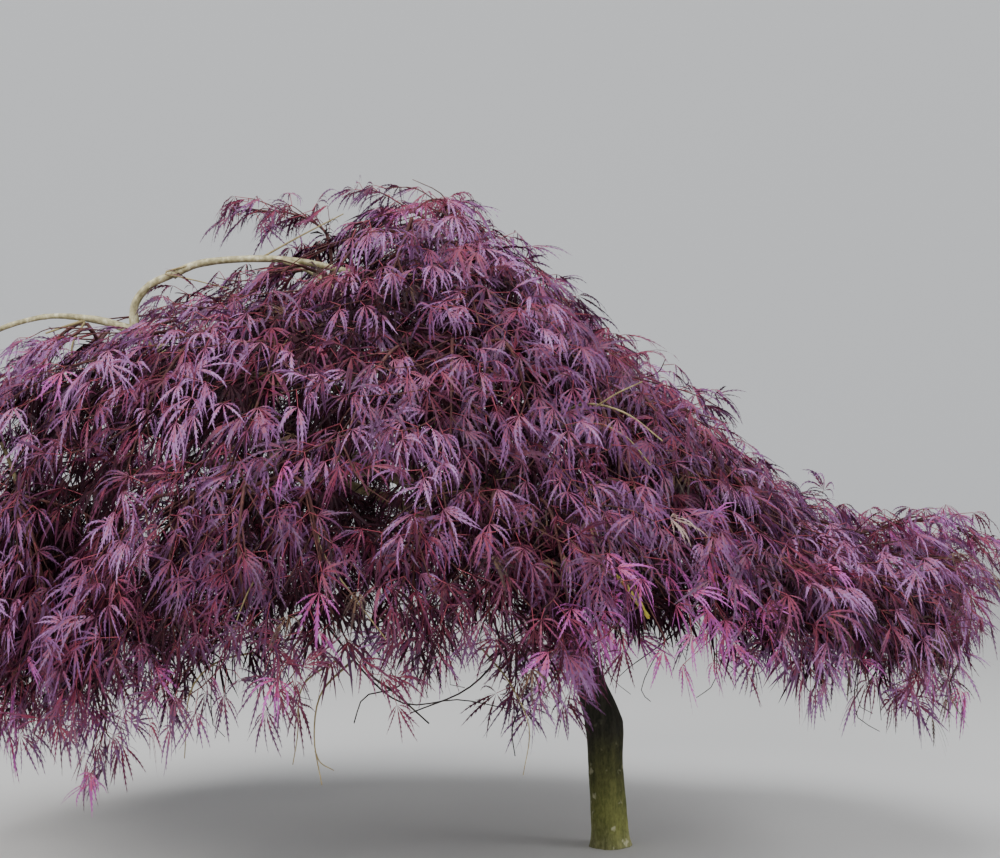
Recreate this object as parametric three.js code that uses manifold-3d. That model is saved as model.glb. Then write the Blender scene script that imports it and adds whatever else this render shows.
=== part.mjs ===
// A weeping laceleaf maple, rooted in the ground: a short leaning trunk, arching boughs, and a mound of
// foliage that cascades over them to a hem above the ground on all sides. The space under it is open.
// Millimetres, +Z up. The origin is the middle of the flat cut under the trunk, at ground level.
// Seen from the front, which is -Y, the trunk leans to the left, towards -X.

import * as THREE from "three";
import { mergeVertices } from "three/addons/utils/BufferGeometryUtils.js";
import Module from "manifold-3d";

const wasm = await Module();
wasm.setup();

// Driving dimensions
const CLEARANCE = 0.3; // between a limb and what grows on from it

const CROWN = {
  x: -230, // the middle of the crown, to the left of the trunk's foot
  y: 0,
  top: 986,
  reachSide: 768, // to the furthest leaf stalks, left and right
  reachFront: 600, // and front and back
  waist: { right: 430, front: 430, left: 430 }, // height where the mound is widest
  hem: { right: 258, front: 360, left: 198 }, // height of the lowest leaf stalks
  fullness: { right: 0.82, front: 1.5, left: 2.1 }, // 1 is a straight cone, 2 a round dome
  shelf: { depth: 110, at: 0.53, width: 0.2 }, // the hollow under the bare arch, on the left
  swell: 20, // how far the bumps stand out of the mound
};

const TRUNK_STATIONS = [
  // the trunk's line and radius from under the ground cut to its tip, inside the crown
  { x: 1, y: 0, z: -20, radius: 30 },
  { x: 0, y: 0, z: 12, radius: 27.5 },
  { x: -6, y: 0, z: 111, radius: 26 },
  { x: -12, y: 0, z: 184, radius: 26 },
  { x: -27, y: 0, z: 235, radius: 22.5 },
  { x: -52, y: 2, z: 290, radius: 21 },
  { x: -104, y: 5, z: 370, radius: 19 },
  { x: -158, y: 6, z: 455, radius: 17 },
  { x: -202, y: 2, z: 550, radius: 14 },
  { x: -236, y: -2, z: 660, radius: 10.5 },
  { x: -262, y: 0, z: 820, radius: 5.2 },
];
const TRUNK_SIDES = 12;
const TRUNK_STEPS = 15;
const KNEE = { z: 184, height: 34, side: 5 }; // the swelling of an old pruned fork, on the right

const BOUGH_SIDES = 5;
const BOUGH_DEPTH = 108; // how far under the foliage a bough ends
const TIP_RADIUS = 4.4;

const STEM_DEPTH = 52;
const TWIG_DEPTH = 24;
const TWIG_RADIUS = { root: 3.4, tip: 2.2 };
const TWIG_SIDES = 3;
const TWIG_STEPS = 3;
const STEM_STEPS = 2;
const SHOOT_LENGTHS = [1, 0.86, 0.72]; // tried in turn until one fits
const SHOOT_SPREAD = [[0.12, 0.72], [0.5, 0.94], [1, 1]]; // share of the way down, and of the way across

// The foliage masses stand in rings, each from one share of the mound's slope to another.
// A ring also has the heights at which its boughs leave the trunk, and their radius there.
const RINGS = [
  { name: "crown", count: 1, turn: 0.6, from: 0, to: 0.17, shoots: 5, pairs: 2 },
  { name: "top", count: 5, turn: 0.63, from: 0.15, to: 0.42, shoots: 3, pairs: 3 },
  { name: "middle", count: 8, turn: 0, from: 0.41, to: 0.7, shoots: 3, pairs: 4 },
  { name: "skirt", count: 9, turn: 0, from: 0.69, to: 1, shoots: 4, pairs: 4 },
];
const BOUGH_ROOTS = {
  top: { low: 610, high: 750, radius: 6 },
  middle: { low: 470, high: 600, radius: 7.5 },
  skirt: { low: 330, high: 460, radius: 9.5 },
};
const MASS_GAP = 1.2; // from a mass to the edge of its space

const LEAF = {
  length: 118, // the middle finger
  thick: 4.4, // at the hub
  stalk: 48,
  stalkWidth: 4.4,
  sunk: 0.7, // the stalk's end, past the middle of the twig
  notch: 0.24, // where two fingers part, in leaf lengths
  apart: 74, // hubs are no nearer than this
  overhang: 45, // how far a leaf may hang over into the next mass's space
  fingers: [
    { turn: -1.2, length: 0.6, droop: 0.95 },
    { turn: -0.6, length: 0.88, droop: 0.82 },
    { turn: 0, length: 1, droop: 0.74 },
    { turn: 0.6, length: 0.88, droop: 0.82 },
    { turn: 1.2, length: 0.6, droop: 0.95 },
  ],
};
const LEAF_SIZES = [1, 0.86, 0.72]; // tried in turn until one fits
const LEAF_SWINGS = [0, 0.3, -0.3, 0.6, -0.6];
const LEAF_LIFTS = [0.6, 1.1, 0.25];

const UP = new THREE.Vector3(0, 0, 1);

// The same row of random numbers from 0 to 1 on every run
function seededRandom(seed) {
  let state = seed >>> 0;
  return () => {
    state = (state + 0x6d2b79f5) >>> 0;
    let mixed = Math.imul(state ^ (state >>> 15), state | 1);
    mixed ^= mixed + Math.imul(mixed ^ (mixed >>> 7), mixed | 61);
    return ((mixed ^ (mixed >>> 14)) >>> 0) / 4294967296;
  };
}

// A size that changes smoothly round the crown between its right, front and left values
function around(size, azimuth) {
  const c = Math.cos(azimuth);
  const odd = (size.right - size.left) / 2;
  const even = (size.right + size.left) / 2 - size.front;
  return size.front + odd * c + even * c * c;
}

// The line over the mound at one azimuth, from its top to its hem, as points evenly spaced along it
const SLOPE_POINTS = 48;
function slopeLine(azimuth) {
  const c = Math.cos(azimuth);
  const reach = 1 / Math.hypot(c / CROWN.reachSide, Math.sin(azimuth) / CROWN.reachFront);
  const waist = around(CROWN.waist, azimuth);
  const hem = around(CROWN.hem, azimuth);
  const power = around(CROWN.fullness, azimuth);
  const { depth, at, width } = CROWN.shelf;
  const shelf = depth * Math.max(0, -c) ** 2;
  const raw = [];
  for (let i = 0; i <= 60; i++) {
    const t = Math.sin((i / 60) * (Math.PI / 2));
    const dome = Math.max(0, 1 - t ** power) ** (1 / power);
    const hollow = shelf * Math.exp(-(((t - at) / width) ** 2));
    raw.push(new THREE.Vector2(reach * t, waist + (CROWN.top - waist) * dome - hollow));
  }
  const tuck = 0.25 * (waist - hem);
  for (let i = 1; i <= 12; i++) {
    const k = i / 12;
    raw.push(new THREE.Vector2(reach - tuck * k * k, waist + (hem - waist) * k));
  }
  const along = [0];
  for (let i = 1; i < raw.length; i++) along.push(along[i - 1] + raw[i].distanceTo(raw[i - 1]));
  const even = [];
  let j = 1;
  for (let i = 0; i <= SLOPE_POINTS; i++) {
    const wanted = (along.at(-1) * i) / SLOPE_POINTS;
    while (j < raw.length - 1 && along[j] < wanted) j++;
    const share = (wanted - along[j - 1]) / (along[j] - along[j - 1]);
    even.push(raw[j - 1].clone().lerp(raw[j], share));
  }
  return even;
}

const SLOPES = 72;
const slopes = Array.from({ length: SLOPES }, (_, i) => slopeLine((i / SLOPES) * 2 * Math.PI));

// A point of the mound's smooth skin: azimuth round it, and slope from 0 at its top to 1 at its hem
function skinPoint(azimuth, slope) {
  const turn = ((azimuth / (2 * Math.PI)) % 1) + 1;
  const a = (turn * SLOPES) % SLOPES;
  const s = THREE.MathUtils.clamp(slope, 0, 1) * SLOPE_POINTS;
  const row = Math.min(Math.floor(s), SLOPE_POINTS - 1);
  const at = (i) => slopes[i % SLOPES][row].clone().lerp(slopes[i % SLOPES][row + 1], s - row);
  const p = at(Math.floor(a)).lerp(at(Math.floor(a) + 1), a - Math.floor(a));
  const over = Math.max(0, slope - 1) * 900; // a shoot may hang on below the hem
  return new THREE.Vector3(
    CROWN.x + p.x * Math.cos(azimuth),
    CROWN.y + p.x * Math.sin(azimuth),
    p.y - over,
  );
}

function skinNormal(azimuth, slope) {
  const step = 0.02;
  const down = skinPoint(azimuth, slope + step).sub(skinPoint(azimuth, Math.max(0, slope - step)));
  const across = new THREE.Vector3(-Math.sin(azimuth), Math.cos(azimuth), 0);
  return down.cross(across).normalize();
}

// A point at a depth under the mound's bumpy skin
function crownPoint(azimuth, slope, depth) {
  const bumps =
    Math.sin(3 * azimuth + 1.1) * Math.sin(9 * slope + 0.6) + 0.6 * Math.sin(7 * azimuth + 11 * slope);
  const fade = Math.min(1, slope / 0.15);
  const lift = CROWN.swell * bumps * fade - depth;
  return skinPoint(azimuth, slope).addScaledVector(skinNormal(azimuth, slope), lift);
}

// Solids

function toSolid(geometry) {
  const bare = new THREE.BufferGeometry().setAttribute("position", geometry.getAttribute("position"));
  bare.setIndex(geometry.index);
  const merged = mergeVertices(bare, 1e-3);
  return new wasm.Manifold(
    new wasm.Mesh({
      numProp: 3,
      vertProperties: merged.attributes.position.array,
      triVerts: new Uint32Array(merged.index.array),
    }),
  );
}

function geometryOf(points, triangles) {
  const geometry = new THREE.BufferGeometry().setFromPoints(points);
  geometry.setIndex(triangles.flat());
  return geometry;
}

function toGeometry(solid) {
  const { numProp, numVert, vertProperties, triVerts } = solid.getMesh();
  const position = new Float32Array(numVert * 3);
  for (let i = 0; i < numVert; i++) {
    position.set(vertProperties.subarray(i * numProp, i * numProp + 3), i * 3);
  }
  const geometry = new THREE.BufferGeometry();
  geometry.setAttribute("position", new THREE.BufferAttribute(position, 3));
  geometry.setIndex(new THREE.BufferAttribute(triVerts, 1));
  geometry.computeVertexNormals();
  return geometry;
}

// A limb of round section along a line, with radius(share along it, angle round it)
function limbSolid(line, radius, sides, steps) {
  const frames = line.computeFrenetFrames(steps);
  const points = [];
  for (let i = 0; i <= steps; i++) {
    const middle = line.getPointAt(i / steps);
    for (let j = 0; j < sides; j++) {
      const angle = (2 * Math.PI * j) / sides;
      const reach = radius(i / steps, angle);
      const p = middle.clone().addScaledVector(frames.normals[i], reach * Math.cos(angle));
      points.push(p.addScaledVector(frames.binormals[i], reach * Math.sin(angle)));
    }
  }
  const triangles = [];
  for (let i = 0; i < steps; i++) {
    for (let j = 0; j < sides; j++) {
      const a = i * sides + j;
      const b = i * sides + ((j + 1) % sides);
      triangles.push([a, b, b + sides], [a, b + sides, a + sides]);
    }
  }
  const last = steps * sides;
  for (let j = 1; j < sides - 1; j++) {
    triangles.push([0, j + 1, j], [last, last + j, last + j + 1]);
  }
  return toSolid(geometryOf(points, triangles));
}

const taper = (root, tip) => (share) => root + (tip - root) * share;

// Trunk

const trunkPoints = TRUNK_STATIONS.map((s) => new THREE.Vector3(s.x, s.y, s.z));
const trunkLine = new THREE.CatmullRomCurve3(trunkPoints);

function trunkShare(z) {
  let low = 0;
  let high = 1;
  for (let i = 0; i < 30; i++) {
    const middle = (low + high) / 2;
    if (trunkLine.getPointAt(middle).z < z) low = middle;
    else high = middle;
  }
  return low;
}

function trunkRadius(z) {
  const next = TRUNK_STATIONS.findIndex((s) => s.z >= z);
  if (next <= 0) return next ? TRUNK_STATIONS.at(-1).radius : TRUNK_STATIONS[0].radius;
  const [a, b] = [TRUNK_STATIONS[next - 1], TRUNK_STATIONS[next]];
  return a.radius + ((b.radius - a.radius) * (z - a.z)) / (b.z - a.z);
}

function trunkSolid(extra) {
  const frames = trunkLine.computeFrenetFrames(TRUNK_STEPS);
  const radius = (share, angle) => {
    const z = trunkLine.getPointAt(share).z;
    const step = Math.round(share * TRUNK_STEPS);
    const side = frames.normals[step].clone().multiplyScalar(Math.cos(angle));
    side.addScaledVector(frames.binormals[step], Math.sin(angle));
    const knee = KNEE.side * Math.exp(-(((z - KNEE.z) / KNEE.height) ** 2)) * Math.max(0, side.x);
    const flutes = 1 + 0.035 * Math.sin(3 * angle + 0.02 * z);
    return trunkRadius(z) * flutes + knee + extra;
  };
  return limbSolid(trunkLine, radius, TRUNK_SIDES, TRUNK_STEPS).trimByPlane([0, 0, 1], 0);
}

// Boughs: each is a line, its root and tip radius, and the limbs that it is seated on

const boughs = new Map();

function addBough(name, points, radii, ...seats) {
  boughs.set(name, { name, line: new THREE.CatmullRomCurve3(points), radii, seats });
}

function boughSteps(bough) {
  return Math.max(3, Math.round(bough.line.getLength() / 90));
}

function boughSolid(bough, extra) {
  const [root, tip] = bough.radii;
  return limbSolid(bough.line, (s) => taper(root, tip)(s) + extra, BOUGH_SIDES, boughSteps(bough));
}

// From the trunk, out and a little up, then over and down to a point under its mass
function arch(start, tip, rise) {
  const points = [start];
  for (const share of [0.3, 0.62, 0.85]) {
    const p = start.clone().lerp(tip, share);
    p.z += rise * 4 * share * (1 - share);
    points.push(p);
  }
  return [...points, tip];
}

// Masses: azimuth, half width round the crown, and where on the slope it starts and ends
const masses = [];
for (const ring of RINGS) {
  for (let i = 0; i < ring.count; i++) {
    const label = ring.count === 1 ? ring.name : `${ring.name}_${i + 1}`;
    const azimuth = (2 * Math.PI * i) / ring.count + ring.turn;
    masses.push({ ...ring, label, place: i, azimuth, halfWidth: Math.PI / ring.count });
  }
}

// The bare arching bough on the left that stands above the foliage, in the plane of the trunk's front
const LEFT_FORK = new THREE.Vector3(-706, -50, 774);
const LEFT_ARM = [[-766, -50, 791], [-848, -54, 793], [-932, -76, 752]];
const ARCH_BEND = new THREE.Vector3(-650, -46, 858);
const ARCH_END = new THREE.Vector3(-385, -20, 862);
const LEFT_ARM_MASS = "skirt_6";
const ARCH_MASS = "top_4";
const STRAY_MASS = "top_3"; // one shoot of it reaches out on the left, above the arch
const STRAY_SHOOT = [[-430, 40, 925], [-480, 54, 954], [-532, 62, 958]];

function growLeftBoughs() {
  const start = trunkLine.getPointAt(trunkShare(508));
  const under = new THREE.Vector3(-400, -20, 590);
  const rising = new THREE.Vector3(-590, -45, 700);
  addBough("bough_left", [start, under, rising, LEFT_FORK], [12.5, 7.2], "trunk");
  const arm = LEFT_ARM.map((p) => new THREE.Vector3(...p));
  const hanging = masses.find((mass) => mass.label === LEFT_ARM_MASS);
  const armEnd = crownPoint(hanging.azimuth, hanging.from + 0.01, 62);
  addBough("bough_left_arm", [LEFT_FORK, ...arm, armEnd], [6, TIP_RADIUS], "bough_left");
  const riser = [LEFT_FORK, new THREE.Vector3(-706, -50, 812), new THREE.Vector3(-686, -48, 840)];
  addBough("bough_left_riser", [...riser, ARCH_BEND], [6, 5.6], "bough_left", "bough_left_arm");
  const run = [new THREE.Vector3(-609, -44, 874), new THREE.Vector3(-485, -34, 880)];
  addBough("bough_left_arch", [ARCH_BEND, ...run, ARCH_END], [5.5, TIP_RADIUS], "bough_left_riser");
  const side = [new THREE.Vector3(-485, -34, 879), new THREE.Vector3(-440, -42, 858)];
  addBough("bough_left_side", [...side, new THREE.Vector3(-388, -62, 820)], [3.8, 3], "bough_left_arch");
}

// Neighbouring boughs leave the trunk at heights that are well apart
function growBoughs() {
  growLeftBoughs();
  for (const mass of masses) {
    if (["crown", LEFT_ARM_MASS, ARCH_MASS].includes(mass.label)) continue;
    const { low, high, radius } = BOUGH_ROOTS[mass.name];
    const place = (mass.place * 0.618 + 0.1) % 1;
    const start = trunkLine.getPointAt(trunkShare(low + (high - low) * place));
    const tip = crownPoint(mass.azimuth, mass.from + 0.02, BOUGH_DEPTH);
    const rise = 0.12 * start.distanceTo(tip);
    addBough(`bough_${mass.label}`, arch(start, tip, rise), [radius, TIP_RADIUS], "trunk");
  }
}

// What a mass grows on from: the trunk's tip, a bare bough on the left, or its own bough
function feederOf(mass) {
  if (mass.label === "crown") return trunkLine;
  if (mass.label === LEFT_ARM_MASS) return boughs.get("bough_left_arm").line;
  if (mass.label === ARCH_MASS) return boughs.get("bough_left_arch").line;
  return boughs.get(`bough_${mass.label}`).line;
}

// A limb cut back to the clearance from the trunk and from the boughs before it
function seatedSolid(bough) {
  let solid = boughSolid(bough, 0);
  if (bough.seats.includes("trunk")) solid = solid.subtract(trunkSolid(CLEARANCE));
  for (const other of boughs.values()) {
    if (other === bough) break;
    if (meet(solid, boughSolid(other, CLEARANCE))) solid = solid.subtract(boughSolid(other, CLEARANCE));
  }
  return largest(solid);
}

function largest(solid) {
  return solid.decompose().sort((a, b) => b.volume() - a.volume())[0];
}

// Leaves and twigs

// A leaf: a hub with drooping fingers and, behind them, a stalk whose end is sunk in the twig
function leafSolid(root, stalk, aim, size, sag) {
  const hub = root.clone().addScaledVector(stalk, LEAF.stalk * size);
  const side = new THREE.Vector3().crossVectors(UP, aim);
  const length = LEAF.length * size;
  const reach = (turn, share, droop) => {
    const p = hub.clone().addScaledVector(aim, length * share * Math.cos(droop * sag) * Math.cos(turn));
    p.addScaledVector(side, length * share * Math.cos(droop * sag) * Math.sin(turn));
    return p.addScaledVector(UP, -length * share * Math.sin(droop * sag));
  };
  const end = root.clone().addScaledVector(stalk, -LEAF.sunk);
  const middle = root.clone().addScaledVector(stalk, LEAF.stalk * size * 0.4);
  const across = new THREE.Vector3().crossVectors(UP, stalk).setLength(LEAF.stalkWidth / 2);
  const rim = [end, middle.clone().sub(across)];
  LEAF.fingers.forEach((finger, i) => {
    rim.push(reach(finger.turn, finger.length, finger.droop));
    const next = LEAF.fingers[i + 1];
    if (next) rim.push(reach((finger.turn + next.turn) / 2, LEAF.notch, 0.62));
  });
  rim.push(middle.clone().add(across));
  const top = hub.clone().addScaledVector(UP, LEAF.thick / 2);
  const bottom = hub.clone().addScaledVector(UP, -LEAF.thick / 2);
  const points = [top, bottom, ...rim];
  const triangles = [];
  for (let i = 0; i < rim.length; i++) {
    const [a, b] = [2 + i, 2 + ((i + 1) % rim.length)];
    triangles.push([0, a, b], [1, b, a]);
  }
  return { solid: toSolid(geometryOf(points, triangles)), points, hub };
}

// A mass grows one stem on from its limb's tip, and shoots that fan out from it over the mound
function stemLine(mass) {
  const feeder = feederOf(mass);
  const tip = feeder.getPointAt(1);
  const heading = feeder.getTangentAt(1);
  const root = tip.clone().addScaledVector(heading, CLEARANCE);
  const elbow = tip.clone().addScaledVector(heading, 20);
  const crotch = crownPoint(mass.azimuth, mass.from ? mass.from + 0.05 : 0.01, STEM_DEPTH);
  return new THREE.CatmullRomCurve3([root, elbow, crotch]);
}

function shootLine(mass, stem, i, length) {
  if (i === mass.shoots) {
    const way = STRAY_SHOOT.map((p) => new THREE.Vector3(...p));
    return new THREE.CatmullRomCurve3([chordPoint(stem, 0.7, STEM_STEPS), ...way]);
  }
  const across = ((2 * i + 1) / mass.shoots - 1) * mass.halfWidth;
  const points = [chordPoint(stem, 0.96 - 0.18 * (i % 3), STEM_STEPS)];
  const start = mass.from + 0.03;
  for (const [share, spread] of SHOOT_SPREAD) {
    const azimuth = mass.azimuth + across * (mass.from ? spread : 1);
    const slope = start + (mass.to - 0.05 - start) * share * length;
    points.push(crownPoint(azimuth, slope, TWIG_DEPTH));
  }
  return new THREE.CatmullRomCurve3(points);
}

const meet = (a, b) => !a.intersect(b).isEmpty();

// A solid with its box, so that what is far off is told at once
function boxed(solid) {
  const { min, max } = solid.boundingBox();
  return { solid, box: new THREE.Box3(new THREE.Vector3(...min), new THREE.Vector3(...max)) };
}

function tooNear(a, b) {
  if (!a.box.clone().expandByScalar(1).intersectsBox(b.box)) return false;
  return a.solid.minGap(b.solid, 1) < 0.5;
}

// Whether a leaf touches its own shoot anywhere but at its stalk's end
function crossesShoot(leaf, shoot, root) {
  const shared = leaf.intersect(shoot);
  if (shared.isEmpty()) return true;
  return boxed(shared).box.expandByPoint(root).getSize(new THREE.Vector3()).length() > 14;
}

// A point on the straight pieces that a limb's solid is made of
function chordPoint(line, share, steps) {
  const i = Math.min(Math.floor(share * steps), steps - 1);
  return line.getPointAt(i / steps).lerp(line.getPointAt((i + 1) / steps), share * steps - i);
}

// The stem and shoots of a mass
function growWood(mass, limbs) {
  const stem = stemLine(mass);
  const stemSolid = limbSolid(stem, taper(TIP_RADIUS, TWIG_RADIUS.root), 4, STEM_STEPS);
  mass.stem = boxed(stemSolid);
  mass.shootsGrown = [];
  const extra = mass.label === STRAY_MASS ? 1 : 0;
  for (let i = 0; i < mass.shoots + extra; i++) {
    for (const length of SHOOT_LENGTHS) {
      const line = shootLine(mass, stem, i, length);
      const solid = limbSolid(line, taper(TWIG_RADIUS.root, TWIG_RADIUS.tip), TWIG_SIDES, TWIG_STEPS);
      if (meet(solid, limbs) || !insideSpace(mass, pointsOf(solid), 0)) continue;
      mass.shootsGrown.push({ ...boxed(solid), line });
      break;
    }
  }
}

// A leaf on a shoot, or none where no size and no direction of it fits; turn is -1, 0 or 1, for its side
function growLeaf(mass, shoot, share, turn, random, limbs, others) {
  const root = chordPoint(shoot.line, share, TWIG_STEPS);
  const heading = shoot.line.getTangentAt(share);
  const out = outwardAt(root);
  const side = new THREE.Vector3().crossVectors(heading, out).normalize();
  const level = out.clone().setZ(0).normalize();
  const sag = 0.5 + 0.5 * Math.min(1, Math.acos(out.z) / 0.9);
  for (const size of LEAF_SIZES) {
    for (const lift of LEAF_LIFTS) {
      for (const swing of LEAF_SWINGS) {
        const angle = turn * 1.15 + swing + 0.3 * (random() - 0.5);
        const stalk = heading.clone().multiplyScalar(Math.cos(angle));
        stalk.addScaledVector(side, Math.sin(angle)).addScaledVector(out, lift);
        stalk.addScaledVector(UP, 0.35).normalize();
        const aim = stalk.clone().setZ(0).addScaledVector(level, 0.5).normalize();
        const { solid, points, hub } = leafSolid(root, stalk, aim, size, sag);
        const leaf = { ...boxed(solid), hub };
        if (!insideSpace(mass, points, LEAF.overhang) || meet(solid, limbs)) continue;
        if (crossesShoot(solid, shoot.solid, root)) continue;
        if (others.some((other) => other.hub && other.hub.distanceTo(hub) < LEAF.apart)) continue;
        if (others.some((other) => other !== shoot && tooNear(leaf, other))) continue;
        return leaf;
      }
    }
  }
  return null;
}

function growLeaves(mass, limbs, others) {
  const random = seededRandom(1000 + masses.indexOf(mass) * 77);
  mass.leaves = [];
  const tryLeaf = (shoot, share, turn) => {
    const leaf = growLeaf(mass, shoot, share, turn, random, limbs, others);
    if (!leaf) return;
    mass.leaves.push(leaf);
    others.push(leaf);
  };
  for (const shoot of mass.shootsGrown) {
    tryLeaf(shoot, 0.985, 0);
    for (let i = mass.pairs; i > 0; i--) {
      tryLeaf(shoot, i / (mass.pairs + 0.4) - 0.08, 1);
      tryLeaf(shoot, i / (mass.pairs + 0.4) - 0.08, -1);
    }
  }
}

function massSolid(mass) {
  const parts = [mass.stem, ...mass.shootsGrown, ...mass.leaves];
  return largest(wasm.Manifold.union(parts.map((part) => part.solid)));
}

function pointsOf(solid) {
  const { numProp, numVert, vertProperties } = solid.getMesh();
  const point = (i) => new THREE.Vector3().fromArray(vertProperties, i * numProp);
  return Array.from({ length: numVert }, (_, i) => point(i));
}

// The way out of the crown at a point: level at its waist and up at its top
function outwardAt(p) {
  const out = new THREE.Vector3(p.x - CROWN.x, p.y - CROWN.y, 0).divideScalar(CROWN.reachFront);
  out.z = Math.max(0.05, (p.z - CROWN.waist.front) / (CROWN.top - CROWN.waist.front));
  return out.normalize();
}

// Each mass keeps to the space that is nearer to its own middle than to another's
for (const mass of masses) mass.middle = crownPoint(mass.azimuth, (mass.from + mass.to) / 2, 50);

function insideSpace(mass, points, over) {
  return masses.every((other) => {
    if (other === mass) return true;
    const way = other.middle.clone().sub(mass.middle);
    const edge = way.length() / 2 - MASS_GAP + over;
    way.normalize();
    return points.every((p) => p.clone().sub(mass.middle).dot(way) < edge);
  });
}

// The tree

const BARK = new THREE.MeshStandardMaterial({ color: 0x4f5136, roughness: 0.85, metalness: 0 });
const YOUNG_BARK = new THREE.MeshStandardMaterial({ color: 0xa39463, roughness: 0.75, metalness: 0 });
const LEAVES = new THREE.MeshStandardMaterial({ color: 0x6b2f55, roughness: 0.55, metalness: 0 });

const tree = new THREE.Group();
function addNode(name, solid, material) {
  const mesh = new THREE.Mesh(toGeometry(solid), material);
  mesh.name = name;
  tree.add(mesh);
}

growBoughs();
addNode("trunk", trunkSolid(0), BARK);
for (const bough of boughs.values()) addNode(bough.name, seatedSolid(bough), YOUNG_BARK);

const thickBoughs = [...boughs.values()].map((bough) => boughSolid(bough, 1.5));
const limbs = wasm.Manifold.union([trunkSolid(1.5), ...thickBoughs]);
for (const mass of masses) growWood(mass, limbs);
const grown = masses.flatMap((mass) => [mass.stem, ...mass.shootsGrown]);
for (const mass of masses) growLeaves(mass, limbs, grown);
for (const mass of masses) addNode(`foliage_${mass.label}`, massSolid(mass), LEAVES);

export default tree;
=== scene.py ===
"""A weeping laceleaf maple, rooted in the ground, dressed with bark, twigs and finely cut leaves.

The tree's sizes are in millimetres and become metres where a mesh is made. The floor, lights and
camera are in metres. The front of the tree faces -Y, and its trunk leans towards -X.
"""

import math

import bpy
import numpy as np
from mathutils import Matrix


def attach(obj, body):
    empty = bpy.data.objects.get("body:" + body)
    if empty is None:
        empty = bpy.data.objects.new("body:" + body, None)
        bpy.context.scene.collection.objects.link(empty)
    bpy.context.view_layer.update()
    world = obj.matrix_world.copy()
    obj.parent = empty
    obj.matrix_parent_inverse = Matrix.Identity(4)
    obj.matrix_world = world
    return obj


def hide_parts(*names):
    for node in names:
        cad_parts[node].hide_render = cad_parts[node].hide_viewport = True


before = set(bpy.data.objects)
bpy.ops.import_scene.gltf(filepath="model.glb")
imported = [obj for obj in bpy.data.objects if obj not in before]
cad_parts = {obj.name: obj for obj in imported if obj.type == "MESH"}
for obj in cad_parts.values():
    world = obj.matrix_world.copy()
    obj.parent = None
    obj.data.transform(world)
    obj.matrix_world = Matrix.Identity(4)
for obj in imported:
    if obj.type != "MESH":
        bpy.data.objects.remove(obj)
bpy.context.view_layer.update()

MM = 0.001
TAU = 2 * math.pi
UP = np.array([0.0, 0.0, 1.0])

# The mound that the crown fills
CROWN_X = -230.0
CROWN_TOP = 986.0
REACH_SIDE = 768.0
REACH_FRONT = 600.0
WAIST = 430.0  # the height at which the mound is widest
HEM = (258, 360, 198)  # at the right, front and left
FULLNESS = (0.82, 1.5, 2.1)
SHELF = {"size": 110, "at": 0.53, "width": 0.2}  # the hollow on the left
DIP = {"size": 36, "at": 0.75, "width": 0.14}  # where the right side sags between its boughs
SWELL = 20
SLOPES = 72
SLOPE_POINTS = 48
HANG = 900  # how far a slope of 1 beyond the hem hangs below it

TRUNK_STATIONS = np.array([
    # x, y, z and radius
    (1.0, 0, -20, 30),
    (0, 0, 12, 27.5),
    (-6, 0, 111, 26),
    (-12, 0, 184, 26),
    (-27, 0, 235, 22.5),
    (-52, 2, 290, 21),
    (-104, 5, 370, 19),
    (-158, 6, 455, 17),
    (-202, 2, 550, 14),
    (-236, -2, 660, 10.5),
    (-262, 0, 820, 5.2),
])
TRUNK_STEPS = 220
TRUNK_SIDES = 40
KNEE = {"size": 5, "at": 184, "width": 34}
FLARE = {"out": 3.2, "height": 16}
FULL_GIRTH = 26  # the radius at which the bark's relief is full
BARK_RIDGES = [
    # height, seed, counts round the trunk, and the rise over which they wander
    (0.55, 3, (9, 13, 17, 23), 70),
    (0.3, 4, (27, 31, 37), 28),
]
RINGS_APART = 74
BARK_RINGS = {"size": 0.5, "at": RINGS_APART / 2, "width": 5}

BOUGH_DEPTH = 108
BOUGH_STEP = 6
TIP_RADIUS = 4.4
STEM_DEPTH = 52
STEM_RADII = (TIP_RADIUS, 3.4)
STEM_STEPS = 10
TWIG_DEPTH = 24
SHOOT_STEPS = 24
SHOOT_SHARES = np.array([0.12, 0.5, 1])  # of the way down a mass
SHOOT_SPREAD = np.array([0.72, 0.94, 1])  # how far shoots have spread to the sides there
RINGS = [
    {"name": "crown", "count": 1, "turn": 0.6, "from": 0, "to": 0.17, "shoots": 5},
    {"name": "top", "count": 5, "turn": 0.63, "from": 0.15, "to": 0.42, "shoots": 3},
    {"name": "middle", "count": 8, "turn": 0, "from": 0.41, "to": 0.7, "shoots": 3},
    {"name": "skirt", "count": 9, "turn": 0, "from": 0.69, "to": 1, "shoots": 4},
]
BOUGH_ROOTS = {
    # lowest and highest on the trunk, and radius
    "top": (610, 750, 6),
    "middle": (470, 600, 7.5),
    "skirt": (330, 460, 9.5),
}

LEFT_FORK = (-706, -50, 774)
LEFT_ARM = [(-766, -50, 791), (-848, -54, 793), (-932, -76, 752)]
ARCH_BEND = (-650, -46, 858)
ARCH_END = (-385, -20, 862)
LEFT_FEEDERS = {"skirt_6": "bough_left_arm", "top_4": "bough_left_arch"}
LEFT_ROOT = 508
ARM_DEPTH = 62
ARM_TAPER = {"along": [0, 60, 100, 400], "share": [1.05, 1, 0.72, 0.66]}
LIMB_RIDGES = (0.035, (3, 4, 7), 90)
LIMB_RINGS = {"first": (15, 45), "apart": (26, 62), "out": (0.05, 0.13), "width": 2.4}
COLLAR = {"out": 0.5, "length": 1.6}  # as shares of the radius at the root
DARK_BELOW = 744  # the pale limbs are dark below this: painted shade where they run in among the leaves
HEM_SLOPE = 0.97  # all leaves that hang lower than this count as outer ones
OPEN_SLOPE = 0.86  # the leaves below this slope droop less
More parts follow.
